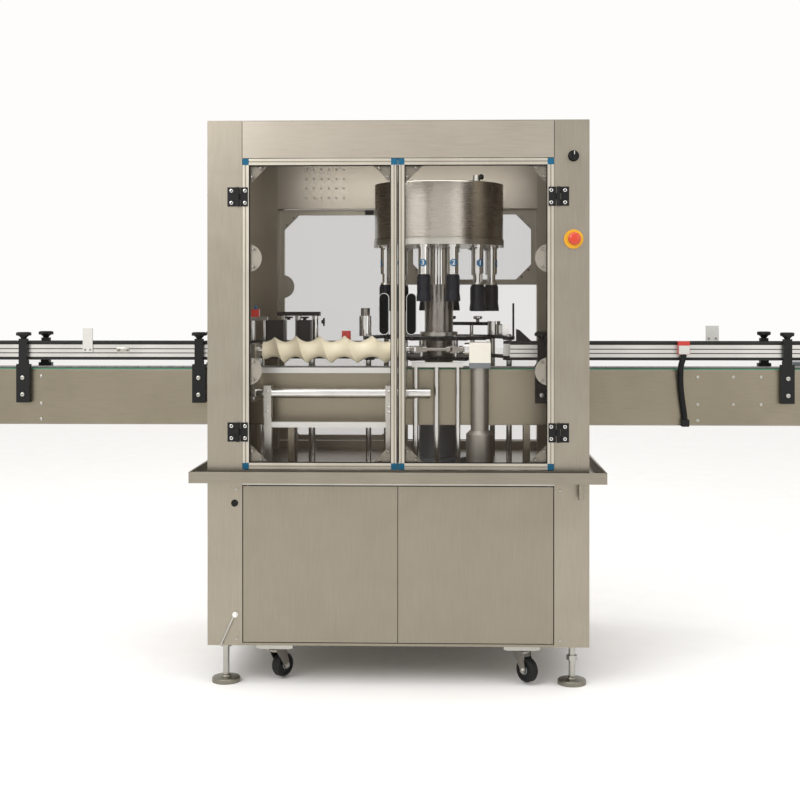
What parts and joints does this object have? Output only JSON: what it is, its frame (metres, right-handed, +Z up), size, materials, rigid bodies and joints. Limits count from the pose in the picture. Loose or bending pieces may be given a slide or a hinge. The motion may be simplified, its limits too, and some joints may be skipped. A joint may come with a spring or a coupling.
{
  "type": "capping machine",
  "caption": "Guarded rotary capping machine: steel cabinet with clear doors, a turret of capping heads over a star wheel, an infeed screw and a slat-chain conveyor.",
  "frame": {"origin": "on the floor under the middle of the machine, between the four levelling feet", "axes": "+X along the conveyor in the direction the bottles travel, -Y the front with the doors, +Z up"},
  "size_m": [3, 1, 1.78],
  "materials": {
    "stainless": "satin",
    "frame_steel": "satin",
    "bright_steel": "polished",
    "dark_steel": "satin",
    "aluminium": "anodised satin",
    "drive_paint": "satin",
    "cream_paint": "satin",
    "dark_plastic": "machined sheet",
    "chain_plastic": "moulded",
    "black_plastic": "moulded",
    "screw_plastic": "turned",
    "clear_panel": "clear",
    "red_plastic": "moulded",
    "wheel_rubber": "moulded"
  },
  "bodies": {
    "frame": {"base_frame": "frame_steel", "base_panels": "stainless", "deck_tray": "stainless", "enclosure_posts": "stainless", "enclosure_panels": "stainless", "rear_window_frame": "aluminium", "levelling_feet": "bright_steel", "drive_motors": "drive_paint", "fixed_column": "dark_steel", "screw_stand": "bright_steel", "screw_gearbox": "cream_paint", "bottle_guides": "dark_plastic", "guide_stand": "bright_steel", "conveyor_frame": "stainless", "conveyor_chain": "chain_plastic", "guide_rails": "aluminium", "rail_brackets": "black_plastic", "hinge_leaves": "black_plastic", "sensors_and_controls": "black_plastic"},
    "turret": {"turret_shaft": "bright_steel", "turret_flange": "bright_steel", "turret_drum": "stainless", "star_wheel": "dark_plastic"},
    "head_01": {"capping_head_01": "bright_steel"},
    "head_02": {"capping_head_02": "bright_steel"},
    "head_03": {"capping_head_03": "bright_steel"},
    "head_04": {"capping_head_04": "bright_steel"},
    "head_05": {"capping_head_05": "bright_steel"},
    "head_06": {"capping_head_06": "bright_steel"},
    "head_07": {"capping_head_07": "bright_steel"},
    "head_08": {"capping_head_08": "bright_steel"},
    "head_09": {"capping_head_09": "bright_steel"},
    "head_10": {"capping_head_10": "bright_steel"},
    "head_11": {"capping_head_11": "bright_steel"},
    "head_12": {"capping_head_12": "bright_steel"},
    "motor_pinion": {"drive_pinion": "dark_steel"},
    "screw_drive": {"screw_drive_shaft": "dark_steel"},
    "screw": {"feed_screw": "screw_plastic", "cardan_shaft": "bright_steel"},
    "conveyor_drive": {"conveyor_drive_shaft": "dark_steel"},
    "conveyor_tail": {"conveyor_tail_shaft": "dark_steel"},
    "left_door": {"left_door_frame": "aluminium", "left_door_glass": "clear_panel", "left_door_fittings": "black_plastic"},
    "right_door": {"right_door_frame": "aluminium", "right_door_glass": "clear_panel", "right_door_fittings": "black_plastic"},
    "rear_door": {"rear_door": "aluminium"},
    "base_door_left": {"base_door_left": "stainless"},
    "base_door_right": {"base_door_right": "stainless"},
    "estop": {"estop_button": "red_plastic"},
    "selector": {"selector_knob": "black_plastic"},
    "caster_front_left": {"caster_fork_front_left": "dark_steel"},
    "wheel_front_left": {"caster_wheel_front_left": "wheel_rubber"},
    "caster_front_right": {"caster_fork_front_right": "dark_steel"},
    "wheel_front_right": {"caster_wheel_front_right": "wheel_rubber"},
    "caster_rear_left": {"caster_fork_rear_left": "dark_steel"},
    "wheel_rear_left": {"caster_wheel_rear_left": "wheel_rubber"},
    "caster_rear_right": {"caster_fork_rear_right": "dark_steel"},
    "wheel_rear_right": {"caster_wheel_rear_right": "wheel_rubber"}
  },
  "joints": [
    {"name": "turret_spin", "type": "hinge", "parent": "frame", "child": "turret", "pos_m": [0.124, 0.05, 0.9], "axis": [0, 0, 1], "continuous": true},
    {"name": "head_01_lift", "type": "slide", "parent": "turret", "child": "head_01", "axis": [0, 0, 1], "range_m": [0, 0.034]},
    {"name": "head_02_lift", "type": "slide", "parent": "turret", "child": "head_02", "axis": [0, 0, 1], "range_m": [-0.034, 0]},
    {"name": "head_03_lift", "type": "slide", "parent": "turret", "child": "head_03", "axis": [0, 0, 1], "range_m": [-0.034, 0]},
    {"name": "head_04_lift", "type": "slide", "parent": "turret", "child": "head_04", "axis": [0, 0, 1], "range_m": [0, 0.034]},
    {"name": "head_05_lift", "type": "slide", "parent": "turret", "child": "head_05", "axis": [0, 0, 1], "range_m": [0, 0.034]},
    {"name": "head_06_lift", "type": "slide", "parent": "turret", "child": "head_06", "axis": [0, 0, 1], "range_m": [0, 0.034]},
    {"name": "head_07_lift", "type": "slide", "parent": "turret", "child": "head_07", "axis": [0, 0, 1], "range_m": [0, 0.034]},
    {"name": "head_08_lift", "type": "slide", "parent": "turret", "child": "head_08", "axis": [0, 0, 1], "range_m": [0, 0.034]},
    {"name": "head_09_lift", "type": "slide", "parent": "turret", "child": "head_09", "axis": [0, 0, 1], "range_m": [0, 0.034]},
    {"name": "head_10_lift", "type": "slide", "parent": "turret", "child": "head_10", "axis": [0, 0, 1], "range_m": [0, 0.034]},
    {"name": "head_11_lift", "type": "slide", "parent": "turret", "child": "head_11", "axis": [0, 0, 1], "range_m": [0, 0.034]},
    {"name": "head_12_lift", "type": "slide", "parent": "turret", "child": "head_12", "axis": [0, 0, 1], "range_m": [0, 0.034]},
    {"name": "pinion_spin", "type": "hinge", "parent": "frame", "child": "motor_pinion", "pos_m": [-0.212, 0.05, 0.6], "axis": [0, 0, 1], "continuous": true},
    {"name": "screw_drive_spin", "type": "hinge", "parent": "frame", "child": "screw_drive", "pos_m": [0.26164, -0.23, 0.8], "axis": [0, 0, 1], "continuous": true},
    {"name": "screw_spin", "type": "hinge", "parent": "frame", "child": "screw", "pos_m": [0, -0.208, 1.052], "axis": [1, 0, 0], "continuous": true},
    {"name": "conveyor_drive_spin", "type": "hinge", "parent": "frame", "child": "conveyor_drive", "pos_m": [1.4, -0.14, 0.9217], "axis": [0, 1, 0], "continuous": true},
    {"name": "conveyor_tail_spin", "type": "hinge", "parent": "frame", "child": "conveyor_tail", "pos_m": [-1.4, -0.14, 0.9217], "axis": [0, 1, 0], "continuous": true},
    {"name": "left_door_hinge", "type": "hinge", "parent": "frame", "child": "left_door", "pos_m": [-0.503, -0.458, 1.17], "axis": [0, 0, -1], "range_deg": [0, 110]},
    {"name": "right_door_hinge", "type": "hinge", "parent": "frame", "child": "right_door", "pos_m": [0.503, -0.458, 1.17], "axis": [0, 0, 1], "range_deg": [0, 110]},
    {"name": "rear_door_hinge", "type": "hinge", "parent": "frame", "child": "rear_door", "pos_m": [-0.503, 0.458, 1.17], "axis": [0, 0, 1], "range_deg": [0, 110]},
    {"name": "base_door_left_hinge", "type": "hinge", "parent": "frame", "child": "base_door_left", "pos_m": [-0.475, -0.443, 0.38], "axis": [0, 0, -1], "range_deg": [0, 100]},
    {"name": "base_door_right_hinge", "type": "hinge", "parent": "frame", "child": "base_door_right", "pos_m": [0.475, -0.443, 0.38], "axis": [0, 0, 1], "range_deg": [0, 100]},
    {"name": "estop_push", "type": "slide", "parent": "frame", "child": "estop", "axis": [0, 1, 0], "range_m": [0, 0.005], "stiffness_N_per_m": 600},
    {"name": "selector_turn", "type": "hinge", "parent": "frame", "child": "selector", "pos_m": [0.55, -0.47, 1.666], "axis": [0, 1, 0], "range_deg": [-45, 45]},
    {"name": "caster_front_left_swivel", "type": "hinge", "parent": "frame", "child": "caster_front_left", "pos_m": [-0.39, -0.385, 0.1], "axis": [0, 0, 1], "continuous": true},
    {"name": "wheel_front_left_roll", "type": "hinge", "parent": "caster_front_left", "child": "wheel_front_left", "pos_m": [-0.37394, -0.36206, 0.046], "axis": [-0.8192, 0.5736, 0], "continuous": true},
    {"name": "caster_front_right_swivel", "type": "hinge", "parent": "frame", "child": "caster_front_right", "pos_m": [0.39, -0.385, 0.1], "axis": [0, 0, 1], "continuous": true},
    {"name": "wheel_front_right_roll", "type": "hinge", "parent": "caster_front_right", "child": "wheel_front_right", "pos_m": [0.408, -0.40645, 0.046], "axis": [0.766, 0.6428, 0], "continuous": true},
    {"name": "caster_rear_left_swivel", "type": "hinge", "parent": "frame", "child": "caster_rear_left", "pos_m": [-0.39, 0.385, 0.1], "axis": [0, 0, 1], "continuous": true},
    {"name": "wheel_rear_left_roll", "type": "hinge", "parent": "caster_rear_left", "child": "wheel_rear_left", "pos_m": [-0.41631, 0.39458, 0.046], "axis": [-0.342, -0.9397, 0], "continuous": true},
    {"name": "caster_rear_right_swivel", "type": "hinge", "parent": "frame", "child": "caster_rear_right", "pos_m": [0.39, 0.385, 0.1], "axis": [0, 0, 1], "continuous": true},
    {"name": "wheel_rear_right_roll", "type": "hinge", "parent": "caster_rear_right", "child": "wheel_rear_right", "pos_m": [0.36369, 0.37542, 0.046], "axis": [0.342, -0.9397, 0], "continuous": true}
  ],
  "couplings": [
    {"joint": "pinion_spin", "follows": "turret_spin", "ratio": -6},
    {"joint": "screw_drive_spin", "follows": "turret_spin", "ratio": -12},
    {"joint": "screw_spin", "follows": "turret_spin", "ratio": -12},
    {"joint": "conveyor_tail_spin", "follows": "conveyor_drive_spin", "ratio": 1}
  ]
}
